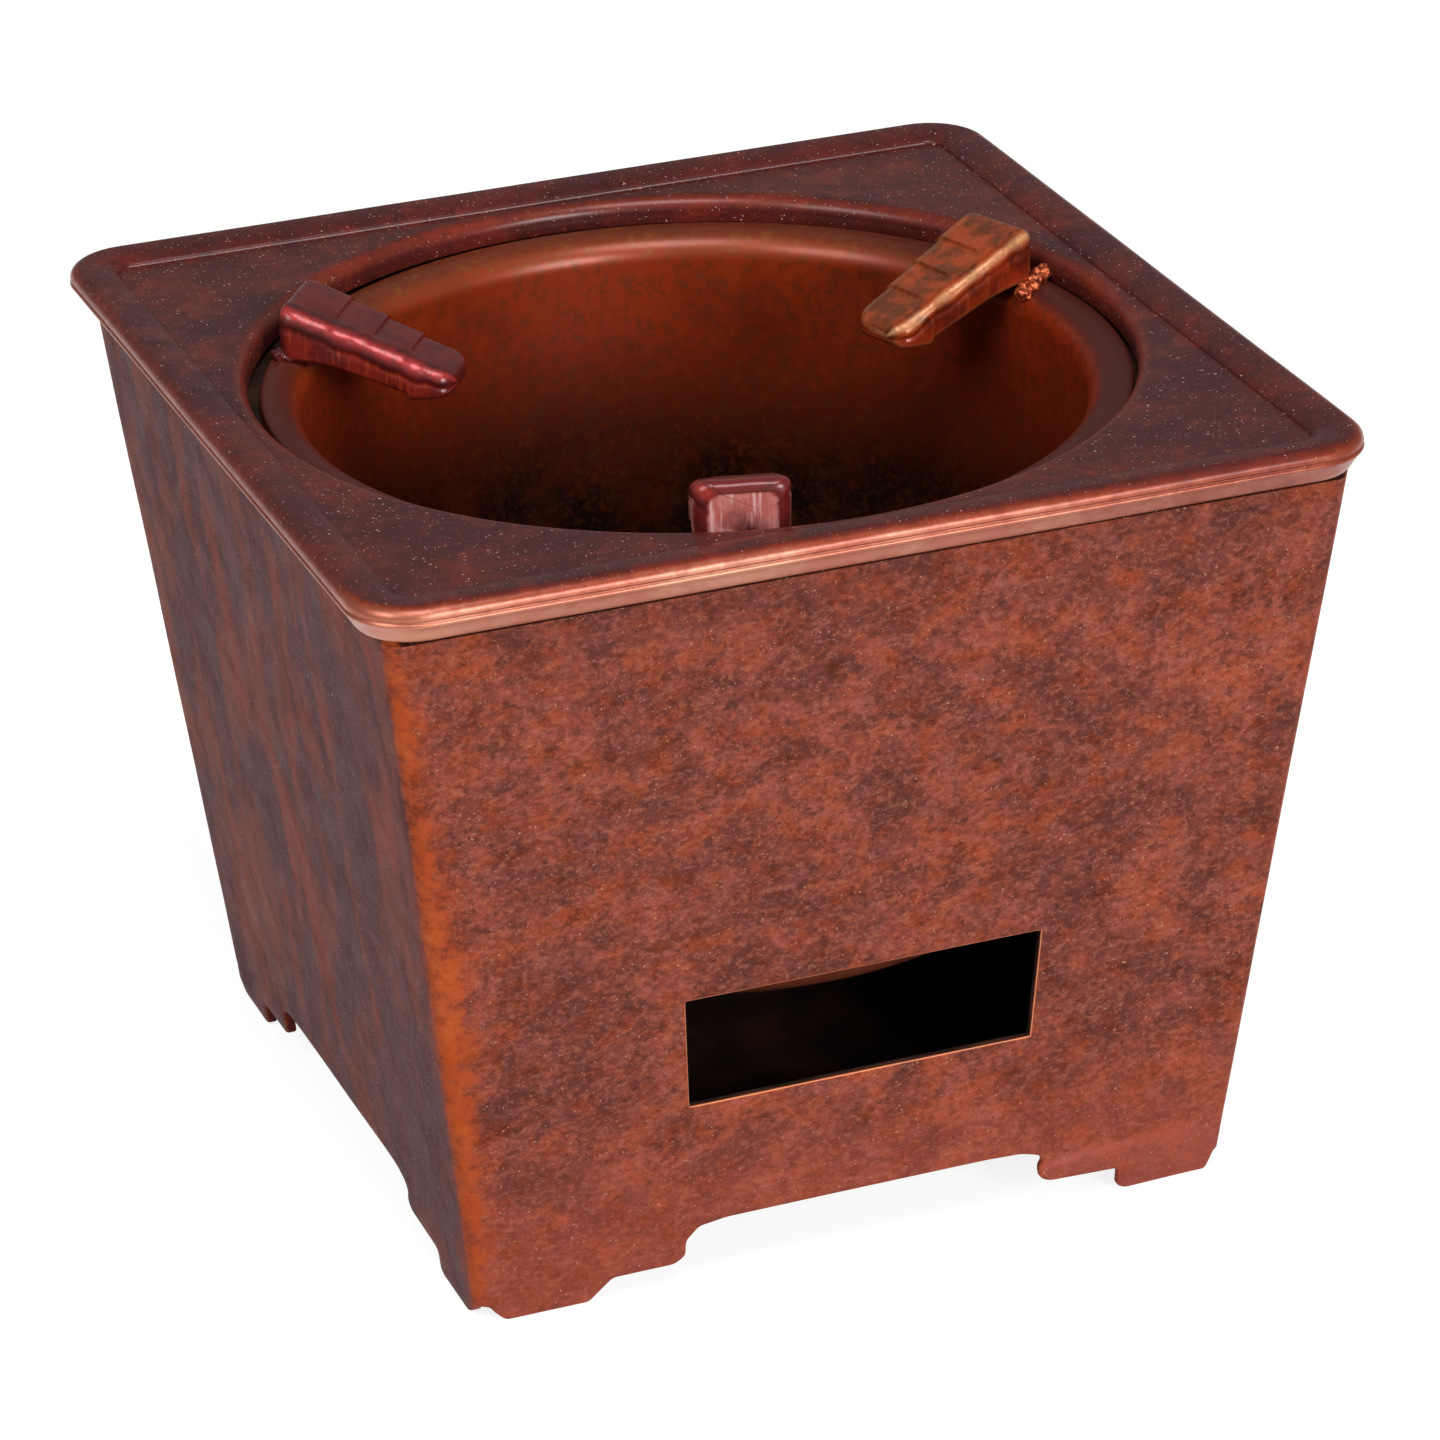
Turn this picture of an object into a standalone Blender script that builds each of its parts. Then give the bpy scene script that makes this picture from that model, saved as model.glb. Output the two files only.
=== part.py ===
"""Square tapered charcoal tea stove in sheet copper, with a loose fire bowl and pot rests.

Metres, +Z up. The origin is on the table, midway between the feet. The vent is in the front
wall, which faces -Y.
"""

import math

import bmesh
import bpy

MM = 0.001

# Driving dimensions of the shell
stove_height = 160.0 * MM
rim_width = 200.0 * MM
base_width = 154.6 * MM
wall_sheet = 2.0 * MM
wall_bend_radius = 3.0 * MM
fit_gap = 0.3 * MM

# Driving dimensions of the top plate
plate_sheet = 1.6 * MM
rim_corner_radius = 13.0 * MM
panel_corner_radius = 3.5 * MM
rim_drop = 8.0 * MM
rim_overhang = 5.4 * MM
rim_edge_thickness = 0.7 * MM
border_rise = 1.9 * MM
ridge_drop = 3.25 * MM
ridge_inset = 0.2 * MM
groove_depth = 0.5 * MM
lip_bend_radius = 3.0 * MM
lip_depth = 4.5 * MM
hole_margin = 0.5 * MM

# Driving dimensions of the vent and the foot apron
vent_width = 72.6 * MM
vent_height = 23.8 * MM
vent_lean = 1.2 * MM
vent_above_floor = 22.9 * MM
apron_height = 13.2 * MM
apron_half_span = 36.0 * MM
apron_corner_run = 11.5 * MM
apron_corner_rise = 5.2 * MM
foot_step_height = 4.7 * MM
foot_step_width = 17.0 * MM
foot_step_slant = 3.0 * MM
foot_tip_radius = 1.8 * MM
foot_corner_cut = 4.6 * MM
foot_chamfer_run = 3.1 * MM
foot_chamfer_height = 3.9 * MM

# Driving dimensions of the floor and the bowl's seat
floor_sheet = 1.5 * MM
floor_above_apron = 2.8 * MM
seat_sheet = 1.4 * MM
seat_clearance = 0.6 * MM
seat_side_room = 0.8 * MM

# Driving dimensions of the fire bowl
bowl_sheet = 1.5 * MM
bowl_clearance = 2.1 * MM
bowl_shift_x = 0.4 * MM
bowl_shift_y = 0.1 * MM
flange_below_lip = 0.5 * MM
flange_width = 8.1 * MM
flange_edge_chamfer = 0.75 * MM
shoulder_radius = 5.0 * MM
bowl_taper = 4.8 * MM
bowl_corner_radius = 6.0 * MM
ash_space = 34.7 * MM

# Driving dimensions of the grate and the pot rests
grate_thickness = 3.0 * MM
grate_side_room = 2.3 * MM
grate_lap = 7.0 * MM
grate_hole_radius = 3.6 * MM
grate_hole_pitch = 13.5 * MM
grate_rings = 2
grate_ring_holes = 6
rest_length = 34.5 * MM
rest_set_back = 2.4 * MM
rest_rise = 11.8 * MM
rest_tip_thickness = 4.0 * MM
rest_tip_drop = 2.2 * MM
rest_belly_drop = 7.0 * MM
rest_belly_run = 10.7 * MM
rest_foot_length = 3.6 * MM
rest_outer_width = 18.6 * MM
rest_inner_width = 13.4 * MM
rest_edge_radius = 1.5 * MM
rest_arch_radius = 3.4 * MM
rest_arch_depth = 7.2 * MM
rest_arch_offset = 1.5 * MM
rest_angles = {"front": -104.8, "right": 19.2, "left": 144.1}

# How finely round shapes are cut into facets
turn_steps = 64
side_points = 12
corner_points = 7
bend_points = 5
edge_points = 3
crisp_angle = 40.0

# How far cutters reach past what they cut, and how close points are joined
cut_overrun = 10.0 * MM
join_distance = 0.01 * MM

# Heights that follow from the driving dimensions
panel_height = stove_height - border_rise
panel_underside = panel_height - plate_sheet
rim_low = stove_height - rim_drop
wall_top = panel_underside - fit_gap
lip_low = panel_height - lip_depth
floor_underside = apron_height + floor_above_apron
floor_top = floor_underside + floor_sheet
vent_sill = floor_top + vent_above_floor
vent_head = vent_sill + vent_height
flange_height = lip_low - flange_below_lip
bowl_bottom = floor_top + ash_space
bowl_depth = flange_height - bowl_bottom
seat_top = flange_height - bowl_sheet - fit_gap
seat_low = seat_top - seat_sheet

# Half-widths of the leaning wall
rim_half = rim_width / 2
base_half = base_width / 2
wall_lean = (rim_half - rim_overhang - fit_gap - base_half) / rim_low
wall_across = wall_sheet * math.hypot(1.0, wall_lean)


def wall_half(height):
    """Half-width of the shell's outer face at a height."""
    return base_half + wall_lean * height


# Radii, from the wall inwards: seat collar, hole, border, bowl, pot rests, grate and air hole
collar_outer = wall_half(seat_low) - wall_across - seat_side_room
collar_inner = collar_outer - seat_sheet
hole_radius = collar_inner - fit_gap - lip_bend_radius
border_width = rim_half - hole_radius - lip_bend_radius - hole_margin
flange_radius = hole_radius - bowl_clearance
bowl_radius = flange_radius - flange_width
rest_outer = flange_radius - rest_set_back
rest_inner = rest_outer - rest_length
grate_radius = rest_inner - grate_side_room
air_hole_radius = grate_radius - grate_lap


def clear_scene():
    """Start from an empty scene."""
    for old in list(bpy.data.objects):
        bpy.data.objects.remove(old, do_unlink=True)


def new_collection(name):
    """A collection in the scene."""
    collection = bpy.data.collections.new(name)
    bpy.context.scene.collection.children.link(collection)
    return collection


def metal(name, colour, roughness):
    """A metal finish."""
    material = bpy.data.materials.new(name)
    material.use_nodes = True
    shader = material.node_tree.nodes["Principled BSDF"]
    shader.inputs["Base Color"].default_value = (*colour, 1.0)
    shader.inputs["Roughness"].default_value = roughness
    shader.inputs["Metallic"].default_value = 1.0
    return material


def add_part(name, mesh, material, parent=None):
    """A named piece in the stove's collection."""
    part = bpy.data.objects.new(name, mesh)
    stove.objects.link(part)
    mesh.materials.clear()
    mesh.materials.append(material)
    part.parent = parent
    return part


def add_cutter(name, mesh):
    """A shape that only cuts others."""
    cutter = bpy.data.objects.new(name, mesh)
    cutters.objects.link(cutter)
    cutter.hide_render = True
    cutter.display_type = "WIRE"
    return cutter


def cut(part, cutter):
    """Take the cutter's shape out of the part."""
    modifier = part.modifiers.new(cutter.name, "BOOLEAN")
    modifier.operation = "DIFFERENCE"
    modifier.solver = "EXACT"
    modifier.object = cutter


def shade(mesh):
    """Smooth shading with the crisp edges kept."""
    mesh.shade_smooth()
    mesh.set_sharp_from_angle(angle=math.radians(crisp_angle))


def mesh_from(bm, name):
    """A mesh from a finished edit mesh, with its faces pointing out."""
    bm.normal_update()
    bmesh.ops.recalc_face_normals(bm, faces=bm.faces)
    mesh = bpy.data.meshes.new(name)
    bm.to_mesh(mesh)
    bm.free()
    return mesh


def tapered_box(name, half_low, half_high, low, high, bend_radius, open_ends):
    """A square box that leans out from its low half-width to its high one, with bent edges."""
    bm = bmesh.new()
    bmesh.ops.create_cube(bm, size=2.0)
    upright = []
    for edge in bm.edges:
        if edge.verts[0].co.z != edge.verts[1].co.z:
            upright.append(edge)
    for vert in bm.verts:
        half = half_high if vert.co.z > 0 else half_low
        vert.co.x *= half
        vert.co.y *= half
        vert.co.z = high if vert.co.z > 0 else low
    bmesh.ops.bevel(bm, geom=upright, offset=bend_radius, segments=bend_points, profile=0.5, affect="EDGES")
    if open_ends:
        ends = [face for face in bm.faces if len({vert.co.z for vert in face.verts}) == 1]
        bmesh.ops.delete(bm, geom=ends, context="FACES")
    return mesh_from(bm, name)


def outline_mesh(name, points, half_depth):
    """A flat outline, drawn in X and Z, given a depth along Y."""
    curve = bpy.data.curves.new(name, "CURVE")
    curve.dimensions = "2D"
    curve.fill_mode = "BOTH"
    curve.extrude = half_depth
    spline = curve.splines.new("POLY")
    spline.points.add(len(points) - 1)
    for point, (x, z) in zip(spline.points, points):
        point.co = (x, z, 0.0, 1.0)
    spline.use_cyclic_u = True
    drawn = bpy.data.objects.new(name, curve)
    cutters.objects.link(drawn)
    evaluated = drawn.evaluated_get(bpy.context.evaluated_depsgraph_get())
    mesh = bpy.data.meshes.new_from_object(evaluated)
    bpy.data.objects.remove(drawn, do_unlink=True)
    bm = bmesh.new()
    bm.from_mesh(mesh)
    bmesh.ops.remove_doubles(bm, verts=bm.verts, dist=join_distance)
    for vert in bm.verts:
        vert.co.y, vert.co.z = -vert.co.z, vert.co.y
    bpy.data.meshes.remove(mesh)
    return mesh_from(bm, name)


def arc(centre_x, centre_z, radius, start, end, count):
    """Points on an arc, with angles in degrees."""
    points = []
    for step in range(count):
        angle = math.radians(start + (end - start) * step / (count - 1))
        points.append((centre_x + radius * math.cos(angle), centre_z + radius * math.sin(angle)))
    return points


def turned(name, profile, material, parent=None):
    """A solid of revolution from a closed section that runs down its outer side."""
    mesh = bpy.data.meshes.new(name)
    verts = [(radius, 0.0, height) for radius, height in profile]
    edges = [(step, (step + 1) % len(verts)) for step in range(len(verts))]
    mesh.from_pydata(verts, edges, [])
    part = add_part(name, mesh, material, parent)
    screw = part.modifiers.new("Turn", "SCREW")
    screw.axis = "Z"
    screw.angle = math.tau
    screw.steps = turn_steps
    screw.render_steps = turn_steps
    screw.use_merge_vertices = True
    screw.merge_threshold = join_distance
    screw.use_smooth_shade = True
    return part


def foot_half_outline():
    """The lower edge of a wall from its middle to its foot, as (distance, height)."""
    arch_x = apron_half_span - apron_corner_run
    arch_z = apron_height - apron_corner_rise
    points = [(0.0, apron_height)]
    for x, z in arc(0.0, 0.0, 1.0, 90.0, 0.0, bend_points + 1):
        points.append((arch_x + x * apron_corner_run, arch_z + z * apron_corner_rise))
    tip_x = apron_half_span + foot_tip_radius
    tip_z = foot_step_height + foot_tip_radius
    points += arc(tip_x, tip_z, foot_tip_radius, 180.0, 270.0, bend_points - 1)
    step_end = apron_half_span + foot_step_width
    points.append((step_end, foot_step_height))
    slope = foot_step_slant / foot_step_height
    points.append((step_end + slope * (foot_step_height + cut_overrun), -cut_overrun))
    return points


def corner_mesh(reach):
    """The gap between two feet at a corner: a square wedge with a flat top, for a place that far out."""
    spread = foot_chamfer_run / foot_chamfer_height
    foot_end = base_half - foot_corner_cut
    half_low = reach - foot_end + spread * cut_overrun
    half_high = reach - foot_end - foot_chamfer_run
    return tapered_box("foot_corner", half_low, half_high, -cut_overrun, foot_chamfer_height, fit_gap, False)


def make_apron_cutters():
    """One arch cutter for each wall and one corner cutter beside it."""
    half = foot_half_outline()
    outline = [(-x, z) for x, z in reversed(half[1:])] + half
    depth = (wall_half(apron_height) - base_half + wall_across + cut_overrun) / 2
    reach = base_half - wall_across - fit_gap + depth
    corner = base_half + cut_overrun
    made = []
    for turn, side in enumerate(("front", "right", "back", "left")):
        angle = math.radians(90.0 * turn)
        c = math.cos(angle)
        s = math.sin(angle)
        arch = add_cutter("apron_arch_" + side, outline_mesh("arch", outline, depth))
        arch.rotation_euler = (0.0, 0.0, angle)
        arch.location = (reach * s, -reach * c, 0.0)
        gap = add_cutter("foot_corner_" + side, corner_mesh(corner))
        gap.location = (corner * (c + s), corner * (s - c), 0.0)
        made += [arch, gap]
    return made


def make_vent_cutter():
    """The vent, a little wider at its head than at its sill."""
    head = vent_width / 2
    sill = head - vent_lean
    depth = wall_half(vent_head) - wall_half(vent_sill) + wall_across + cut_overrun
    outline = [(-sill, vent_sill), (sill, vent_sill), (head, vent_head), (-head, vent_head)]
    cutter = add_cutter("vent_cut", outline_mesh("vent_cut", outline, depth))
    cutter.location = (0.0, -wall_half((vent_sill + vent_head) / 2), 0.0)
    return cutter


def make_body_shell():
    """The wrap of sheet, trimmed level at both ends, with its vent and its foot apron."""
    low = -cut_overrun
    high = wall_top + cut_overrun
    mesh = tapered_box("body_shell", wall_half(low), wall_half(high), low, high, wall_bend_radius, True)
    shade(mesh)
    shell = add_part("body_shell", mesh, wall_copper)
    sheet = shell.modifiers.new("Sheet", "SOLIDIFY")
    sheet.thickness = wall_sheet
    sheet.offset = -1.0
    sheet.use_even_offset = True
    room = rim_half + cut_overrun
    level = add_cutter("level_ends", tapered_box("level_ends", room, room, 0.0, wall_top, fit_gap, False))
    trim = shell.modifiers.new("Level ends", "BOOLEAN")
    trim.operation = "INTERSECT"
    trim.solver = "EXACT"
    trim.object = level
    for cutter in make_apron_cutters():
        cut(shell, cutter)
    cut(shell, make_vent_cutter())


def make_floor_plate():
    """The ash floor, wedged where the leaning walls close in on it."""
    low = wall_half(floor_underside) - wall_across - fit_gap
    high = wall_half(floor_top) - wall_across - fit_gap
    mesh = tapered_box("floor_plate", low, high, floor_underside, floor_top, wall_bend_radius, False)
    shade(mesh)
    add_part("floor_plate", mesh, sooted_copper)


def square_loop(inset, radius):
    """Points round a square with round corners, set in from the rim."""
    half = rim_half - inset
    straight = half - radius
    spread = math.atan2(rim_half - rim_corner_radius, rim_half)
    quarter = []
    for step in range(side_points):
        angle = -spread + 2 * spread * step / side_points
        quarter.append((half, straight * math.tan(angle) / math.tan(spread)))
    for step in range(corner_points):
        angle = math.radians(90.0 * step / corner_points)
        quarter.append((straight + radius * math.cos(angle), straight + radius * math.sin(angle)))
    loop = []
    for turn in range(4):
        c = (1, 0, -1, 0)[turn]
        s = (0, 1, 0, -1)[turn]
        for x, y in quarter:
            loop.append((c * x - s * y, s * x + c * y))
    return loop


def round_loop(radius):
    """Points round a circle, in line with those of the square."""
    loop = []
    for x, y in square_loop(border_width, panel_corner_radius):
        reach = math.hypot(x, y)
        loop.append((radius * x / reach, radius * y / reach))
    return loop


def rim_section():
    """The cap's border from the lower edge over the bead to the panel, as (inset, height)."""
    ridge = stove_height - ridge_drop
    bead_low = ridge + groove_depth
    lower_inset = rim_overhang - rim_edge_thickness
    section = [(lower_inset, rim_low), (ridge_inset, ridge - groove_depth), (ridge_inset, ridge)]
    section.append((groove_depth, (ridge + bead_low) / 2))
    half_border = border_width / 2
    bead_height = stove_height - bead_low
    for step in range(bend_points + 2):
        angle = math.radians(180.0 - 90.0 * step / (bend_points + 1))
        inset = half_border + half_border * math.cos(angle)
        section.append((inset, bead_low + bead_height * math.sin(angle)))
    for step in range(1, bend_points):
        share = step / bend_points
        drop = border_rise * (1 - math.cos(math.pi * share)) / 2
        section.append((half_border * (1 + share), stove_height - drop))
    section.append((border_width, panel_height))
    return section


def make_top_plate():
    """The pressed cap: border, panel and the turned-down lip of its hole, all from one sheet."""
    loops = []
    for inset, height in rim_section():
        share = min(inset / border_width, 1.0)
        radius = rim_corner_radius + (panel_corner_radius - rim_corner_radius) * share
        loops.append((square_loop(inset, radius), height))
    bend_centre = hole_radius + lip_bend_radius
    bend_height = panel_height - lip_bend_radius
    for radius, height in arc(bend_centre, bend_height, lip_bend_radius, 90.0, 180.0, bend_points + 1):
        loops.append((round_loop(radius), height))
    loops.append((round_loop(hole_radius), lip_low))
    loops.append((round_loop(hole_radius + plate_sheet), lip_low))
    inner_bend = lip_bend_radius - plate_sheet
    for radius, height in arc(bend_centre, bend_height, inner_bend, 180.0, 90.0, bend_points - 1):
        loops.append((round_loop(radius), height))
    wall_room = rim_half - wall_half(wall_top) - fit_gap
    loops.append((square_loop(wall_room, wall_bend_radius), panel_underside))
    loops.append((square_loop(rim_overhang, wall_bend_radius), rim_low))
    bm = bmesh.new()
    rings = []
    for loop, height in loops:
        rings.append([bm.verts.new((x, y, height)) for x, y in loop])
    count = len(rings[0])
    for index, ring in enumerate(rings):
        above = rings[(index + 1) % len(rings)]
        for step in range(count):
            ahead = (step + 1) % count
            bm.faces.new((ring[step], ring[ahead], above[ahead], above[step]))
    mesh = mesh_from(bm, "top_plate")
    shade(mesh)
    add_part("top_plate", mesh, plate_copper)


def make_seat_ring():
    """The angle ring under the hole that the bowl's flange sits on."""
    shift = math.hypot(bowl_shift_x, bowl_shift_y)
    ledge_inner = bowl_radius + shoulder_radius + shift + seat_clearance
    profile = [(collar_outer, wall_top), (collar_outer, seat_low), (ledge_inner, seat_low)]
    profile += [(ledge_inner, seat_top), (collar_inner, seat_top), (collar_inner, wall_top)]
    turned("bowl_seat_ring", profile, sooted_copper)


def make_fire_bowl(axis):
    """The spun bowl: flange, rolled shoulder, leaning wall and a bottom with an air hole."""
    foot_inner = bowl_radius - bowl_taper
    inside_bottom = -bowl_depth + bowl_sheet
    roll_x = bowl_radius + shoulder_radius
    roll_z = -shoulder_radius
    heel_x = foot_inner - bowl_corner_radius
    heel_z = inside_bottom + bowl_corner_radius
    profile = [(flange_radius, -flange_edge_chamfer), (flange_radius, -bowl_sheet)]
    profile += arc(roll_x, roll_z, shoulder_radius - bowl_sheet, 90.0, 180.0, bend_points)
    profile += arc(heel_x, heel_z, bowl_corner_radius + bowl_sheet, 0.0, -90.0, bend_points)
    profile += [(air_hole_radius, -bowl_depth), (air_hole_radius, inside_bottom)]
    profile += arc(heel_x, heel_z, bowl_corner_radius, -90.0, 0.0, bend_points)
    profile += arc(roll_x, roll_z, shoulder_radius, 180.0, 90.0, bend_points + 2)
    profile.append((flange_radius - flange_edge_chamfer, 0.0))
    turned("fire_bowl", profile, bowl_copper, axis)


def make_fire_grate(axis):
    """The loose perforated disc over the bowl's air hole."""
    bm = bmesh.new()
    bmesh.ops.create_cone(bm, cap_ends=True, segments=turn_steps, radius1=grate_radius,
                          radius2=grate_radius, depth=grate_thickness)
    mesh = mesh_from(bm, "fire_grate")
    shade(mesh)
    grate = add_part("fire_grate", mesh, sooted_copper, axis)
    grate.location.z = -bowl_depth + bowl_sheet + fit_gap + grate_thickness / 2
    holes = bmesh.new()
    for ring in range(grate_rings + 1):
        count = max(1, grate_ring_holes * ring)
        for step in range(count):
            angle = math.tau * step / count
            made = bmesh.ops.create_cone(holes, cap_ends=True, segments=bend_points * 2,
                                         radius1=grate_hole_radius, radius2=grate_hole_radius,
                                         depth=grate_thickness + cut_overrun)
            reach = ring * grate_hole_pitch
            offset = (reach * math.cos(angle), reach * math.sin(angle), 0.0)
            bmesh.ops.translate(holes, verts=made["verts"], vec=offset)
    cutter = add_cutter("grate_holes", mesh_from(holes, "grate_holes"))
    cutter.parent = axis
    cutter.location.z = grate.location.z
    cut(grate, cutter)


def make_pot_rest(label, angle, axis):
    """A wedge lug, brazed on the flange, that slopes down towards the middle of the bowl."""
    foot_z = fit_gap
    belly_x = rest_inner + rest_belly_run
    tip_top = -rest_tip_drop
    outline = [(rest_outer, rest_rise), (rest_inner, tip_top), (rest_inner, tip_top - rest_tip_thickness)]
    outline += [(belly_x, -rest_belly_drop), (rest_outer - rest_foot_length, foot_z), (rest_outer, foot_z)]
    mesh = outline_mesh("pot_rest_" + label, outline, rest_outer_width / 2)
    for vert in mesh.vertices:
        share = (vert.co.x - rest_inner) / rest_length
        width = rest_inner_width + (rest_outer_width - rest_inner_width) * share
        vert.co.y *= width / rest_outer_width
    shade(mesh)
    rest = add_part("pot_rest_" + label, mesh, rest_copper, axis)
    turn = math.radians(angle)
    rest.rotation_euler = (0.0, 0.0, turn)
    edges = rest.modifiers.new("Soft edges", "BEVEL")
    edges.width = rest_edge_radius
    edges.segments = edge_points
    edges.limit_method = "ANGLE"
    edges.angle_limit = math.radians(crisp_angle)
    bm = bmesh.new()
    bmesh.ops.create_cone(bm, cap_ends=True, segments=bend_points * 4, radius1=rest_arch_radius,
                          radius2=rest_arch_radius, depth=rest_arch_depth * 2)
    for vert in bm.verts:
        vert.co.x, vert.co.z = vert.co.z, -vert.co.x
    notch = add_cutter("rest_arch_" + label, mesh_from(bm, "rest_arch_" + label))
    notch.parent = axis
    notch.rotation_euler = (0.0, 0.0, turn)
    side = (-rest_arch_offset * math.sin(turn), rest_arch_offset * math.cos(turn))
    notch.location = (rest_outer * math.cos(turn) + side[0], rest_outer * math.sin(turn) + side[1], 0.0)
    cut(rest, notch)


clear_scene()
stove = new_collection("charcoal_tea_stove")
cutters = new_collection("cutters")
wall_copper = metal("patinated copper wall", (0.16, 0.040, 0.022), 0.38)
plate_copper = metal("patinated copper plate", (0.11, 0.030, 0.022), 0.34)
bowl_copper = metal("heat-tinted copper bowl", (0.20, 0.055, 0.020), 0.40)
rest_copper = metal("cast copper lug", (0.17, 0.022, 0.020), 0.30)
sooted_copper = metal("sooted copper", (0.03, 0.014, 0.010), 0.60)

bowl_axis = bpy.data.objects.new("bowl_axis", None)
stove.objects.link(bowl_axis)
bowl_axis.location = (bowl_shift_x, bowl_shift_y, flange_height)

make_body_shell()
make_floor_plate()
make_top_plate()
make_seat_ring()
make_fire_bowl(bowl_axis)
make_fire_grate(bowl_axis)
for rest_label, rest_angle in rest_angles.items():
    make_pot_rest(rest_label, rest_angle, bowl_axis)
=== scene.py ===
"""Square tapered charcoal tea stove in patinated copper, with a loose fire bowl, on a pale table.

The frame is in metres, +Z up, with the vent in the wall that faces -Y. Sizes in this file are in
millimetres until a piece is made.
"""

import math

import bmesh
import bpy
import numpy as np
from mathutils import Matrix, Vector, geometry, noise


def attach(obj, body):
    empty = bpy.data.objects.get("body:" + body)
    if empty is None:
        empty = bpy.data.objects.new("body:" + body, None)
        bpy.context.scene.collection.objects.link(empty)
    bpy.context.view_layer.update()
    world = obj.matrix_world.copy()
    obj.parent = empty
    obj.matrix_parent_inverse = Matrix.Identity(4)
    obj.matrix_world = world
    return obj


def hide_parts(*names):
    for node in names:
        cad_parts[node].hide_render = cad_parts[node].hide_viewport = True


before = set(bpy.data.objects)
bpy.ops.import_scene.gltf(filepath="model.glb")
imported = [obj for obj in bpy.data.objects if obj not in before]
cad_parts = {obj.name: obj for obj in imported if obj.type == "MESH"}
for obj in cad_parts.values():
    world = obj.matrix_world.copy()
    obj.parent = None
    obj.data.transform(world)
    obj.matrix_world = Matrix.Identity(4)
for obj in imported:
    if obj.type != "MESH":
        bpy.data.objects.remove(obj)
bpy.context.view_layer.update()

MM = 0.001

# Sizes that follow the frame
base_half = 77.3
wall_lean = 17.0 / 152.0
wall_sheet = 2.0
wall_bend = 3.6
wall_top = 156.2
rim_half = 100.0
band_low = 152.95
rim_overhang = 5.4
rim_corner = 13.0
panel_corner = 3.5
border_width = 10.0
crest = 160.2
panel_height = 158.1
plate_sheet = 1.6
hole_radius = 86.3
lip_bend = 3.0
lip_low = 152.4
bowl_centre = (0.4, 0.1)
flange_height = 153.25
flange_radius = 84.7
flange_slip = 0.5
bowl_radius = 76.3
bowl_foot = 71.5
bowl_bottom = 52.2
bowl_sheet = 1.5
air_hole = 38.3
rest_inner = 47.5
rest_outer = 82.1


def linear(code):
    """The linear colour of an sRGB hex code."""
    channels = []
    for start in (0, 2, 4):
        part = int(code[start:start + 2], 16) / 255
        channels.append(part / 12.92 if part <= 0.04045 else ((part + 0.055) / 1.055) ** 2.4)
    return (*channels, 1.0)


def add(tree, kind, inputs, **settings):
    """Adds a node with its settings, and sets or links its inputs."""
    node = tree.nodes.new("ShaderNode" + kind)
    for name, value in settings.items():
        setattr(node, name, value)
    for key, value in inputs.items():
        if isinstance(value, bpy.types.NodeSocket):
            tree.links.new(value, node.inputs[key])
        else:
            node.inputs[key].default_value = value
    return node


def per_metre(size):
    """The pattern scale that gives features of a size in millimetres."""
    return 1.0 / (size * MM)


def new_material(name):
    """An empty material with its shader and output in place."""
    material = bpy.data.materials.new(name)
    material.use_nodes = True
    tree = material.node_tree
    tree.nodes.clear()
    shader = add(tree, "BsdfPrincipled", {})
    add(tree, "OutputMaterial", {"Surface": shader.outputs[0]})
    return material, tree, shader


# The setting of a node that eases its value, input 0, from a range, 1 and 2, into a new one, 3 and 4
eased = {"interpolation_type": "SMOOTHSTEP"}


def lay_films(tree, base, films, blend="MIX"):
    """Lays films of colour over a base, one after another.

    A film is its share and its tone. Where its share follows a pattern, the film gives the pattern,
    the two levels between which it comes in, how much of it there is at each level, and its tone.
    A tone, like the base, is a hex code or a colour that was laid before.
    """
    colour = base if isinstance(base, bpy.types.NodeSocket) else linear(base)
    for share, *rise, tone in films:
        if rise:
            (low, high), (start, end) = rise
            share = add(tree, "MapRange", {0: share, 1: low, 2: high, 3: start, 4: end}, **eased).outputs[0]
        shade = tone if isinstance(tone, bpy.types.NodeSocket) else linear(tone)
        colour = add(tree, "Mix", {0: share, 6: colour, 7: shade}, data_type="RGBA",
                     blend_type=blend).outputs[2]
    return colour


def finish_surface(tree, shader, colour, constants, patterns, relief):
    """Gives the shader its colour, its constant values, those that follow a pattern, and its relief.

    The relief is the two patterns that roughen the surface, how strong they are and their depth.
    """
    tree.links.new(colour, shader.inputs["Base Color"])
    for name, value in constants.items():
        shader.inputs[name].default_value = value
    for name, (pattern, (low, high), (start, end)) in patterns.items():
        level = add(tree, "MapRange", {0: pattern, 1: low, 2: high, 3: start, 4: end}, **eased)
        tree.links.new(level.outputs[0], shader.inputs[name])
    coarse, fine, strength, depth = relief
    tooth = add(tree, "Math", {0: coarse, 1: fine}, operation="ADD").outputs[0]
    bump = add(tree, "Bump", {"Height": tooth, "Strength": strength, "Distance": depth * MM})
    tree.links.new(bump.outputs[0], shader.inputs["Normal"])


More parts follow.
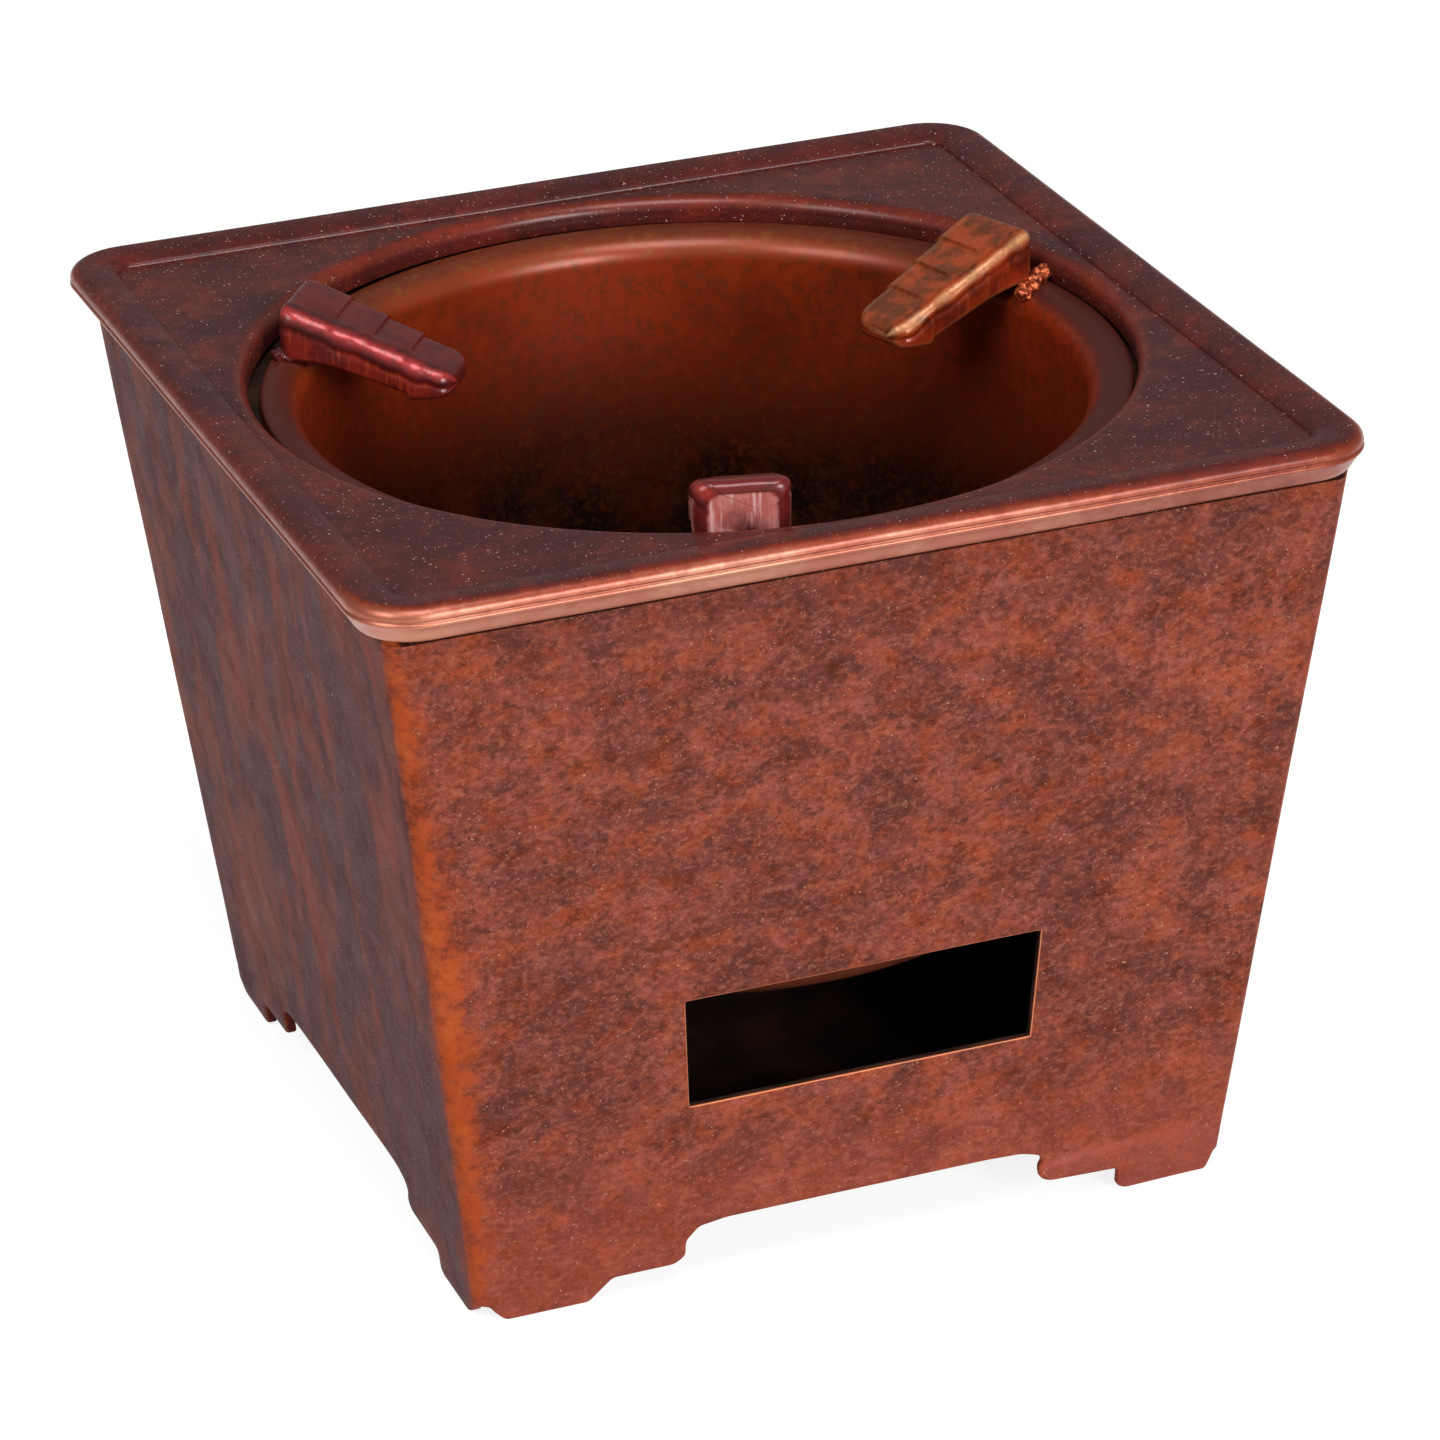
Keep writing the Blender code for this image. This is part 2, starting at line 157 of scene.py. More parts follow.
def patinated_copper(name, tones, spec):
    """Red copper sheet coloured by heat and vinegar, then waxed.

    The oxide film is opaque and blotchy, so little of it answers as metal. It has soft clouds a few
    centimetres wide, dark patches of a centimetre with orange between them, dark spots of a few
    millimetres, a tinge that turns from orange to plum and a fine grain from the rag that rubbed it.
    Edges are rubbed to a thin red film and then to bare metal, and the edge of the vent is bare from
    the saw, with a painted highlight laid along it. On the left and right walls the film is painted
    darker, as shade, and streaks of film ran down it. Low on the walls the colour is painted redder and
    lighter, as light bounced up from the table. The pressed foot is paler, with a painted highlight
    along its crease, and a thin dark line under the rim is a painted shadow.
    """
    material, tree, shader = new_material(name)
    place = add(tree, "TexCoord", {}).outputs["Object"]
    brushed = add(tree, "Mapping", {"Vector": place, "Scale": (0.85, 0.85, 1.0)}).outputs[0]
    stroke = add(tree, "Mapping", {"Vector": place, "Scale": (0.7, 0.7, 1.0)}).outputs[0]
    cloud = add(tree, "TexNoise", {"Vector": brushed, "Scale": per_metre(26), "Detail": 4.0}).outputs[0]
    patch = add(tree, "TexNoise", {"Vector": brushed, "Scale": per_metre(9), "Detail": 7.0,
                                   "Roughness": 0.66, "Distortion": 0.6}).outputs[0]
    spot = add(tree, "TexNoise", {"Vector": brushed, "Scale": per_metre(2.2), "Detail": 5.0,
                                  "Roughness": 0.68}).outputs[0]
    tinge = add(tree, "TexNoise", {"Vector": stroke, "Scale": per_metre(4.5), "Detail": 6.0,
                                   "Roughness": 0.72}).outputs[0]
    # A rag's strokes and grains of dust are about 0.2 mm wide. Both are drawn coarser, to show.
    grain = add(tree, "TexNoise", {"Vector": stroke, "Scale": per_metre(1.1), "Detail": 5.0,
                                   "Roughness": 0.8, "Distortion": 0.4}).outputs[0]
    speck = add(tree, "TexNoise", {"Vector": place, "Scale": per_metre(0.55), "Detail": 1.0}).outputs[0]
    colour = lay_films(tree, tones["cloud"], (
        (cloud, (0.38, 0.62), (0.0, 1.0), tones["mid"]),
        (patch, (0.34, 0.48), (spec["blush"], 0.0), tones["blush"]),
        (patch, (0.44, 0.66), (0.0, spec["patches"]), tones["patch"]),
        (spot, (0.48, 0.66), (0.0, spec["spots"]), tones["dark"]),
        (grain, (0.38, 0.50), (spec["grain"], 0.0), tones["dark"]),
        (grain, (0.50, 0.62), (0.0, spec["grain"]), tones["bright"])))
    colour = lay_films(tree, colour, (
        (tinge, (0.36, 0.50), (spec["tinge"], 0.0), tones["orange"]),
        (tinge, (0.50, 0.64), (0.0, spec["tinge"] * 0.6), tones["plum"])), "COLOR")
    if spec["runs"]:
        split = add(tree, "SeparateXYZ", {0: place})
        height = split.outputs[2]
        across = add(tree, "Math", {0: split.outputs[0]}, operation="ABSOLUTE").outputs[0]
        along = add(tree, "Math", {0: split.outputs[1]}, operation="ABSOLUTE").outputs[0]
        sideways = add(tree, "Math", {0: across, 1: along}, operation="SUBTRACT").outputs[0]
        upright = add(tree, "Mapping", {"Vector": place, "Scale": (1.0, 1.0, 0.4)}).outputs[0]
        run = add(tree, "TexNoise", {"Vector": upright, "Scale": per_metre(15), "Detail": 4.0,
                                     "Roughness": 0.55, "Distortion": 0.6}).outputs[0]
        # The left and right walls take a darker base, which is painted shade, with streaks of film that ran
        # down it
        side_shade_and_runs = lay_films(tree, tones["side"], (
            (run, (0.42, 0.66), (0.0, spec["runs"]), tones["run"]),
            (patch, (0.48, 0.66), (0.0, 0.35), tones["dark"]),
            (grain, (0.50, 0.70), (0.0, 0.2), tones["bright"])))
        # The pressed mark paints the foot paler below its crease and lays a painted highlight along the
        # crease
        pressed = add(tree, "Attribute", {}, attribute_name="pressed").outputs["Fac"]
        colour = lay_films(tree, colour, (
            # Low on the walls a redder, lighter tone is laid: painted light bounced up from the table
            (height, (8 * MM, 44 * MM), (0.3, 0.0), tones["low"]),
            (sideways, (1.5 * MM, 4.5 * MM), (0.0, 1.0), side_shade_and_runs),
            (pressed, tones["pressed"]),
            # A thin dark line at the top of the wall, under the rim's band, is a painted shadow
            (height, (151.1 * MM, 151.4 * MM), (0.0, 1.0), tones["rim_shadow"])))
    rub = add(tree, "Attribute", {}, attribute_name="rub").outputs["Fac"]
    torn = add(tree, "MapRange", {0: patch, 1: 0.36, 2: 0.64, 3: 1.1, 4: spec["torn"]}, **eased).outputs[0]
    holed = add(tree, "MapRange", {0: spot, 1: 0.40, 2: 0.62, 3: 1.15, 4: spec["torn"]}, **eased).outputs[0]
    frayed = add(tree, "Math", {0: torn, 1: holed}, operation="MULTIPLY").outputs[0]
    worn = add(tree, "Math", {0: rub, 1: frayed}, operation="MULTIPLY", use_clamp=True).outputs[0]
    bare = lay_films(tree, tones["bare"], ((cloud, (0.40, 0.62), (0.0, 1.0), tones["bare_light"]),))
    colour = lay_films(tree, colour, (
        (speck, (0.71, 0.77), (0.0, spec["specks"]), tones["speck"]),
        (worn, (0.0, 0.5), (0.0, spec["thinning"]), tones["thin"]),
        (worn, (0.25, 1.0), (0.0, 1.0), bare),
        # Where rub passes 1, on the vent's cut edge, a pale tone is laid as a painted highlight
        (rub, (1.0, 2.0), (0.0, 0.75), tones["speck"])))
    finish_surface(tree, shader, colour,
                   {"Specular IOR Level": spec["sheen"], "Coat Weight": spec["wax"], "Coat Roughness": 0.26},
                   {"Metallic": (worn, (0.0, 1.0), (spec["metal"], spec["bare_metal"])),
                    "Roughness": (patch, (0.3, 0.7), (spec["gloss"], spec["gloss"] + 0.12))},
                   (grain, spot, 0.14, 0.2))
    return material


def heat_tinted_copper(name):
    """Spun copper coloured by the fire, with a thin wax on it.

    The flange is painted dark, as shade, a little less at the back. The back of the rolled shoulder keeps
    a few golden flecks, laid brighter as a painted highlight. The wall below it is warm red brown with
    faint turning rings and is darker towards the bottom, and the outside is plain brown patina.
    """
    material, tree, shader = new_material(name)
    place = add(tree, "TexCoord", {}).outputs["Object"]
    height = add(tree, "SeparateXYZ", {0: place}).outputs[2]
    fleck = add(tree, "TexNoise", {"Vector": place, "Scale": per_metre(2.6), "Detail": 5.0,
                                   "Roughness": 0.7}).outputs[0]
    cloud = add(tree, "TexNoise", {"Vector": place, "Scale": per_metre(16), "Detail": 4.0}).outputs[0]
    # Turning rings are about 0.3 mm apart, and are drawn coarser, to show.
    ring = add(tree, "TexNoise", {"W": height, "Scale": per_metre(1.2), "Detail": 2.0},
               noise_dimensions="1D").outputs[0]
    flat = add(tree, "Attribute", {}, attribute_name="flat").outputs["Fac"]
    rub = add(tree, "Attribute", {}, attribute_name="rub").outputs["Fac"]
    outside = add(tree, "Attribute", {}, attribute_name="outside").outputs["Fac"]
    flecked = add(tree, "MapRange", {0: fleck, 1: 0.48, 2: 0.72, 3: 0.2, 4: 0.7}, **eased).outputs[0]
    # Golden flecks, laid only on the back of the shoulder, where they brighten it as a painted highlight
    flecks_and_highlight = add(tree, "Math", {0: rub, 1: flecked}, operation="MULTIPLY").outputs[0]
    patina = lay_films(tree, "642E1F", ((cloud, (0.4, 0.6), (0.0, 1.0), "743727"),))
    # The inside is near black low down and warm red brown near the top: darker towards the bottom
    colour = lay_films(tree, "0E0502", (
        (height, (97 * MM, 150 * MM), (0.0, 1.0), "902C0C"),
        (cloud, (0.42, 0.7), (0.0, 0.5), "5C1C08"),
        (fleck, (0.50, 0.60), (0.0, 0.5), "4A240A"),
        (fleck, (0.36, 0.48), (0.12, 0.0), "A04A14"),
        # The flange's dark tone is painted shade
        (flat, "54231E"),
        (flecks_and_highlight, "A65C2A"),
        (outside, patina)))
    finish_surface(tree, shader, colour,
                   {"Specular IOR Level": 0.12, "Coat Roughness": 0.3},
                   {"Metallic": (flecks_and_highlight, (0.0, 1.0), (0.25, 0.5)),
                    "Roughness": (fleck, (0.3, 0.7), (0.34, 0.46)),
                    "Coat Weight": (flat, (0.0, 1.0), (0.55, 0.08))},
                   (ring, fleck, 0.08, 0.2))
    return material


def cast_copper(name, tones, wax):
    """Cast copper lug, filed on its sides, patinated and waxed.

    The wax gives it a deeper shine than the sheet. The shoulders are rubbed, and on the near shoulder the
    rubbed tone is laid as a painted highlight. The sides keep upright file marks, and the top has a cloudy
    film.
    """
    material, tree, shader = new_material(name)
    place = add(tree, "TexCoord", {}).outputs["Object"]
    cloud = add(tree, "TexNoise", {"Vector": place, "Scale": per_metre(6), "Detail": 5.0,
                                   "Roughness": 0.6}).outputs[0]
    fleck = add(tree, "TexNoise", {"Vector": place, "Scale": per_metre(1.4), "Detail": 4.0,
                                   "Roughness": 0.7}).outputs[0]
    # File marks are about 0.4 mm apart, and are drawn coarser, to show.
    upright = add(tree, "Mapping", {"Vector": place, "Scale": (1.0, 1.0, 0.1)}).outputs[0]
    file_mark = add(tree, "TexNoise", {"Vector": upright, "Scale": per_metre(0.9), "Detail": 4.0}).outputs[0]
    filed = add(tree, "Attribute", {}, attribute_name="filed").outputs["Fac"]
    rub = add(tree, "Attribute", {}, attribute_name="rub").outputs["Fac"]
    score = add(tree, "MapRange", {0: file_mark, 1: 0.50, 2: 0.74, 3: 0.0, 4: 1.0}, **eased).outputs[0]
    scored = add(tree, "Math", {0: filed, 1: score}, operation="MULTIPLY").outputs[0]
    touch = add(tree, "MapRange", {0: fleck, 1: 0.35, 2: 0.62, 3: 0.5, 4: 1.0}, **eased).outputs[0]
    worn = add(tree, "Math", {0: rub, 1: touch}, operation="MULTIPLY", use_clamp=True).outputs[0]
    side = lay_films(tree, tones["side"], ((cloud, (0.4, 0.6), (0.0, 1.0), tones["side_dark"]),))
    colour = lay_films(tree, tones["mid"], (
        (cloud, (0.38, 0.62), (0.0, 1.0), tones["dark"]),
        (filed, side),
        (scored, tones["filed"]),
        # The worn tone is real rubbing, and on the near shoulder it is also a painted highlight
        (worn, tones["worn"])))
    finish_surface(tree, shader, colour,
                   {"Specular IOR Level": 0.2, "Coat Weight": wax, "Coat Roughness": 0.2},
                   {"Metallic": (worn, (0.0, 1.0), (0.1, 0.2)),
                    "Roughness": (cloud, (0.3, 0.7), (0.28, 0.40))},
                   (scored, fleck, 0.14, 0.25))
    return material


def braze_copper():
    """Copper filler rod, melted on and left as it froze: bright, rough and a little oxidised."""
    material, tree, shader = new_material("copper filler, brazed")
    place = add(tree, "TexCoord", {}).outputs["Object"]
    crumb = add(tree, "TexNoise", {"Vector": place, "Scale": per_metre(0.9), "Detail": 4.0}).outputs[0]
    colour = lay_films(tree, "8E2E16", ((crumb, (0.38, 0.62), (0.0, 1.0), "E07A4C"),))
    finish_surface(tree, shader, colour, {"Metallic": 0.7},
                   {"Roughness": (crumb, (0.3, 0.7), (0.30, 0.5))}, (crumb, 0.0, 0.4, 0.3))
    return material


def sooted_copper():
    """Copper inside the stove, blackened by smoke: matt, with brown showing through."""
    material, tree, shader = new_material("copper sheet, sooted")
    place = add(tree, "TexCoord", {}).outputs["Object"]
    smoke = add(tree, "TexNoise", {"Vector": place, "Scale": per_metre(14), "Detail": 5.0}).outputs[0]
    colour = lay_films(tree, "2A1A14", ((smoke, (0.35, 0.7), (0.0, 1.0), "4A2C20"),))
    finish_surface(tree, shader, colour, {"Metallic": 0.2, "Specular IOR Level": 0.15},
                   {"Roughness": (smoke, (0.3, 0.7), (0.62, 0.82))}, (smoke, 0.0, 0.2, 0.3))
    return material


def ease(low, high, value):
    """0 below the low value, 1 above the high one, and a smooth rise between them."""
    share = min(max((value - low) / (high - low), 0.0), 1.0)
    return share * share * (3 - 2 * share)


def wander(x, y, z, size, seed):
    """A smooth uneven value between about -1 and 1, with bumps of a size in millimetres."""
    return noise.noise(Vector((x / size + seed, y / size - seed, z / size + 2 * seed)))


def make_piece(name, points, faces, materials, face_kinds=None, marks=None, crisp=50.0):
    """A mesh object from points in millimetres, with its materials and its wear values."""
    mesh = bpy.data.meshes.new(name)
    mesh.from_pydata([(x * MM, y * MM, z * MM) for x, y, z in points], [], faces)
    for material in materials:
        mesh.materials.append(material)
    if face_kinds:
        mesh.polygons.foreach_set("material_index", face_kinds)
    for mark, values in (marks or {}).items():
        layer = mesh.attributes.new(mark, "FLOAT", "POINT")
        layer.data.foreach_set("value", values)
    bm = bmesh.new()
    bm.from_mesh(mesh)
    bmesh.ops.remove_doubles(bm, verts=bm.verts, dist=0.002 * MM)
    bmesh.ops.recalc_face_normals(bm, faces=bm.faces)
    bm.to_mesh(mesh)
    bm.free()
    mesh.shade_smooth()
    mesh.set_sharp_from_angle(angle=math.radians(crisp))
    piece = bpy.data.objects.new(name, mesh)
    bpy.context.scene.collection.objects.link(piece)
    return piece


def band_faces(rows, closed=True):
    """Faces between each row of points and the next."""
    faces = []
    for before, after in zip(rows, rows[1:]):
        count = len(before)
        for step in range(count if closed else count - 1):
            ahead = (step + 1) % count
            faces.append((before[step], before[ahead], after[ahead], after[step]))
    return faces


def apply_modifiers(piece):
    """Makes the evaluated shape the piece's own mesh."""
    evaluated = piece.evaluated_get(bpy.context.evaluated_depsgraph_get())
    mesh = bpy.data.meshes.new_from_object(evaluated)
    piece.modifiers.clear()
    piece.data = mesh


def put_on(piece, body, slot, *nodes):
    """The piece rides on its body and stands for its frame nodes, which are hidden. The slot is not used."""
    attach(piece, body)
    if nodes:
        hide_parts(*nodes)


def wall_half(height):
    """Half-width of the wall's outer face at a height."""
    return base_half + wall_lean * height


def rounded(points, radius, steps=4):
    """An open line with its corners rounded."""
    line = [Vector(points[0])]
    for before, corner, after in zip(points, points[1:], points[2:]):
        corner = Vector(corner)
        back = Vector(before) - corner
        ahead = Vector(after) - corner
        start = corner + back * min(radius / back.length, 0.45)
        end = corner + ahead * min(radius / ahead.length, 0.45)
        for step in range(steps + 1):
            share = step / steps
            line.append(start * (1 - share) ** 2 + corner * 2 * share * (1 - share) + end * share ** 2)
    line.append(Vector(points[-1]))
    return line


def spaced(line, gap):
    """The line with points added where they are further apart than the gap."""
    dense = [line[0]]
    for point in line[1:]:
        run = point - dense[-1]
        count = max(1, math.ceil(run.length / gap))
        start = dense[-1]
        for step in range(1, count + 1):
            dense.append(start + run * step / count)
    return dense


# The lower edge of a wall from its corner to its middle, as (distance, height)
slant_foot = [(75.5, 3.7), (71.8, 0.0), (55.0, 0.0), (50.2, 4.4), (37.6, 4.5), (35.3, 6.0), (35.2, 9.5),
              (32.6, 12.2), (27.0, 13.0)]
hooked_foot = [(76.4, 3.7), (74.0, 0.0), (56.8, 0.0), (55.1, 0.9), (55.2, 4.9), (53.8, 5.2), (40.4, 5.7),
               (38.5, 6.8), (38.5, 8.8), (39.5, 10.1), (38.6, 11.7), (34.5, 12.9), (27.0, 13.2)]
side_foot = [(77.2, 3.7), (71.0, 0.0)] + hooked_foot[2:]
corner_low = 3.7
foot_round = 0.9
cut_round = 0.4
vent_sill = 40.4
vent_head = 64.2
vent_sill_half = 35.1
vent_head_half = 36.3

# The right front foot, pressed outwards below a crease
crease_start = 38.5
crease_low = 9.6
crease_rise = 2.2
crease_run = 5.0
crease_columns = 37
kick_out = 0.9

# Spacing of the points on a wall
wall_row = 3.0
wall_columns = 50
bend_steps = 5
foot_gap = 1.3
vent_gap = 2.0
top_gap = 4.0

# How far the film is rubbed off the wall
corner_rub = 0.62
foot_rub = 0.45
# The vent's edge is rubbed past 1: bare metal from the saw, and above that a painted highlight
saw_cut_and_highlight = 2.0


def wall_outline(left_foot, right_foot):
    """The lower edge of a wall from its left corner to its right one."""
    end = wall_half(corner_low)
    line = [(-end, corner_low)] + [(-u, z) for u, z in left_foot]
    line += [(u, z) for u, z in reversed(right_foot)] + [(end, corner_low)]
    return spaced(rounded(line, foot_round), foot_gap)


def outward(line, closed):
    """The directions out of the sheet along a line that has the sheet on its left."""
    count = len(line)
    found = []
    for index in range(count):
        if closed:
            run = line[(index + 1) % count] - line[index - 1]
        else:
            run = line[min(index + 1, count - 1)] - line[max(index - 1, 0)]
        found.append(Vector((run.y, -run.x)).normalized())
    if not closed:
        found[0] = Vector((0.0, -1.0))
        found[-1] = Vector((0.0, -1.0))
    return found


def clear_of(points, edges, room):
    """The points that keep their room to every edge."""
    if not points:
        return []
    cloud = np.array([(p.x, p.y) for p in points])
    keep = np.ones(len(cloud), bool)
    for start, end in edges:
        a = np.array((start.x, start.y))
        run = np.array((end.x, end.y)) - a
        share = np.clip(((cloud - a) @ run) / max(run @ run, 1e-9), 0.0, 1.0)
        keep &= np.hypot(*(cloud - a - share[:, None] * run).T) > room
    return [point for point, kept in zip(points, keep) if kept]


def crease(u):
    """Height of the crease over the right front foot."""
    return crease_low + crease_rise * (1 - math.exp(-(u - crease_start) / crease_run))


def right_swell(x, height):
    """How far the right wall stands out from square, most at its top."""
    return (0.8 + 0.5 * height / wall_top) * ease(0.55, 0.95, x / wall_half(height))


def kick(u, height):
    """How far the right front foot stands out below the crease where it was pressed."""
    if u < crease_start - 0.5:
        return 0.0
    return kick_out * ease(0.0, 2.4, crease(u) - height) * (1 - 0.85 * ease(50.0, 74.0, u))


def paler_foot_and_crease_highlight(u, height):
    """How pale the right front foot is painted below the crease where it was pressed, with a painted
    highlight along the crease.
    """
    if u < crease_start - 0.5:
        return 0.0
    below = crease(u) - height
    fade = 1 - 0.8 * ease(48.0, 72.0, u)
    # The first term makes the foot paler below the crease; the second is a painted highlight along the
    # crease, fading to the right
    return 0.3 * ease(0.0, 1.5, below) + 0.5 * fade * ease(0.0, 0.8, below) * (1 - ease(0.8, 2.0, below))


def corner_wear(u, height, turn):
    """How far the film is rubbed off along a wall's corners, widest half way down the front and back."""
    gap = wall_half(height) - abs(u)
    drop = 1 - height / wall_top
    spread = 3.0 + 8.0 * math.sin(math.pi * drop) if turn % 2 == 0 else 4.6
    wear = corner_rub * (1 - ease(0.3, spread, gap)) * (1 + 0.5 * wander(0.0, 0.0, height, 9.0, 4.4))
    return wear * 0.2 if turn == 0 and u > 0 else wear


def wall_point(u, height, depth, turn):
    """A point of the sheet: distance along a wall, height, and depth below the outer face."""
    straight = wall_half(height) - wall_bend
    over = abs(u) - straight
    if over <= 0:
        spot = Vector((u, -wall_half(height)))
        out = Vector((0.0, -1.0))
    else:
        angle = min(over / wall_bend, 1.0) * math.pi / 4
        out = Vector((math.copysign(math.sin(angle), u), -math.cos(angle)))
        spot = Vector((math.copysign(straight, u), -straight)) + out * wall_bend
    lift = kick(u, height) if turn == 0 else 0.0
    spot += out * (lift - depth)
    c = (1, 0, -1, 0)[turn]
    s = (0, 1, 0, -1)[turn]
    x = c * spot.x - s * spot.y
    y = s * spot.x + c * spot.y
    uneven = 0.16 * wander(x, y, height, 34.0, 3.1)
    turned = Vector((c * out.x - s * out.y, s * out.x + c * out.y))
    return (x + turned.x * uneven + right_swell(x, height), y + turned.y * uneven, height)


def wall_filling(levels, with_crease):
    """Points inside a wall: a grid on its flat part, rows on its bends, and rows along the crease."""
    flat = []
    bend = []
    for row in range(1, int(wall_top / wall_row)):
        height = row * wall_row
        straight = wall_half(height) - wall_bend
        for column in range(wall_columns + 1):
            flat.append(Vector((straight * (2 * column / wall_columns - 1), height)))
    for level in levels[1:-1]:
        straight = wall_half(level) - wall_bend
        for step in range(1, bend_steps):
            reach = straight + wall_bend * step / bend_steps
            bend += [Vector((reach, level)), Vector((-reach, level))]
    if with_crease:
        room_start = crease_start - 1.5
        room_top = 15.0
        flat = [point for point in flat if point.x < room_start or point.y > room_top]
        for column in range(crease_columns):
            u = crease_start + column
            bend += [Vector((u, crease(u) + 0.4 - 0.55 * step)) for step in range(7)]
    return flat, bend


def in_vent(triangle, spots):
    """Whether a triangle lies in the vent."""
    middle = sum((spots[index] for index in triangle), Vector((0.0, 0.0))) / 3
    between = vent_sill - cut_round < middle.y < vent_head + cut_round
    return between and abs(middle.x) < vent_head_half - 0.4


def wall_triangles(outline, vent):
    """Points and triangles of one flat wall, with the places of its lower edge, top edge and vent."""
    inset = [point - way * cut_round for point, way in zip(outline, outward(outline, False))]
    levels = [corner_low + cut_round]
    while levels[-1] < wall_top - wall_row - 1.0:
        levels.append(levels[-1] + wall_row)
    levels.append(wall_top)
    inset[0] = Vector((-wall_half(levels[0]), levels[0]))
    inset[-1] = Vector((wall_half(levels[0]), levels[0]))
    right = [Vector((wall_half(level), level)) for level in levels[1:]]
    left = [Vector((-wall_half(level), level)) for level in reversed(levels[1:])]
    top = spaced([right[-1], left[0]], top_gap)[1:-1]
    loop = inset + right + top + left
    points = loop + vent
    edges = [(index, (index + 1) % len(loop)) for index in range(len(loop))]
    edges += [(len(loop) + index, len(loop) + (index + 1) % len(vent)) for index in range(len(vent))]
    lines = [(points[a], points[b]) for a, b in edges]
    flat, bend = wall_filling(levels, bool(vent))
    points += clear_of(flat, lines, 1.4) + clear_of(bend, lines, 0.5)
    spots, _, triangles, origins, _, _ = geometry.delaunay_2d_cdt(points, edges, [], 1, 1e-5)
    where = {}
    for index, sources in enumerate(origins):
        for source in sources:
            where[source] = index
    if vent:
        triangles = [triangle for triangle in triangles if not in_vent(triangle, spots)]
    lower = [where[index] for index in range(len(inset))]
    first_top = len(inset) + len(right) - 1
    upper = [where[first_top + index] for index in range(len(top) + 2)]
    hole = [where[len(loop) + index] for index in range(len(vent))]
    return spots, triangles, lower, upper, hole


def make_wall_wrap():
    """The wrap of sheet with its vent and feet, with softened cut edges and a kicked foot."""
    vent = [Vector((vent_sill_half, vent_sill)), Vector((-vent_sill_half, vent_sill)),
            Vector((-vent_head_half, vent_head)), Vector((vent_head_half, vent_head))]
    vent.append(vent[0])
    vent = spaced(vent, vent_gap)[:-1]
    vent_out = outward(vent, True)
    vent_inset = [point - way * cut_round for point, way in zip(vent, vent_out)]
    far_edge = wall_sheet / cut_round
    points = []
    faces = []
    kinds = []
    rub = []
    pressed = []
    for turn in range(4):
        front = turn == 0
        outline = wall_outline(slant_foot, hooked_foot) if front else wall_outline(side_foot, side_foot)
        spots, triangles, lower, upper, hole = wall_triangles(outline, vent_inset if front else [])
        outer = len(points)
        inner = outer + len(spots)
        for depth in (0.0, wall_sheet):
            for spot in spots:
                points.append(wall_point(spot.x, spot.y, depth, turn))
                rub.append(corner_wear(spot.x, spot.y, turn) if depth == 0 else 0.0)
                # The pressed mark: a paler foot, with a painted highlight along its crease
                pressed.append(paler_foot_and_crease_highlight(spot.x, spot.y) if front else 0.0)
        for a, b, c in triangles:
            faces += [(outer + a, outer + b, outer + c), (inner + c, inner + b, inner + a)]
            kinds += [0, 1]
        cut_edges = [(lower, outward(outline, False), False, foot_rub)]
        if front:
            cut_edges.append((hole, vent_out, True, saw_cut_and_highlight))
        for ends, ways, closed, wear in cut_edges:
            rows = [[outer + index for index in ends]]
            for reach, depth, bright in ((0.7, 0.3, wear), (1.0, 1.0, 0.0), (1.0, far_edge - 1.0, 0.0),
                                         (0.7, far_edge - 0.3, 0.0)):
                rows.append(list(range(len(points), len(points) + len(ends))))
                for index, way in zip(ends, ways):
                    moved = spots[index] + way * cut_round * reach
                    points.append(wall_point(moved.x, moved.y, depth * cut_round, turn))
                    rub.append(bright)
                    pressed.append(0.0)
            rows.append([inner + index for index in ends])
            for depth, pair in enumerate(zip(rows, rows[1:])):
                band = band_faces(pair, closed)
                faces += band
                kinds += [1 if closed and depth > 1 else 0] * len(band)
        for a, b in zip(upper, upper[1:]):
            faces.append((outer + a, outer + b, inner + b, inner + a))
            kinds.append(0)
    piece = make_piece("wall_wrap", points, faces, [wall_finish, soot_finish], kinds,
                       {"rub": rub, "pressed": pressed})
    put_on(piece, "stove", "wall_copper", "body_shell")


side_steps = 36
corner_steps = 10

# The edge of the cap from the foot of its sloping band to its bead, as (inset, height, rubbed)
cap_edge = [(3.2, band_low, 0.6), (2.85, band_low + 0.05, 1.0), (2.65, band_low + 0.3, 1.0),
            (2.4, 153.5, 0.9), (1.9, 154.4, 0.85), (1.35, 155.3, 0.85), (0.85, 156.05, 0.9),
            (0.45, 156.5, 0.9), (0.25, 156.8, 1.0), (0.25, 157.0, 1.0), (0.4, 157.2, 0.9),
            (0.6, 157.4, 0.6), (0.65, 157.6, 0.5), (0.55, 157.75, 0.8)]
crest_inset = 3.0
bead_inset = 0.35
bead_low = 157.9
bead_steps = 14
slope_steps = 16
panel_inset = border_width + 0.5
bead_rub = 0.8
lip_rub = 0.25


def square_loop(inset, radius):
    """Points round a square with round corners, set in from the rim."""
    half = rim_half - inset
    straight = half - radius
    spread = math.atan2(rim_half - rim_corner, rim_half)
    quarter = []
    for step in range(side_steps):
        angle = -spread + 2 * spread * step / side_steps
        quarter.append((half, straight * math.tan(angle) / math.tan(spread)))
    for step in range(corner_steps):
        angle = math.pi / 2 * step / corner_steps
        quarter.append((straight + radius * math.cos(angle), straight + radius * math.sin(angle)))
    loop = []
    for c, s in ((1, 0), (0, 1), (-1, 0), (0, -1)):
        loop += [(c * x - s * y, s * x + c * y) for x, y in quarter]
    return loop


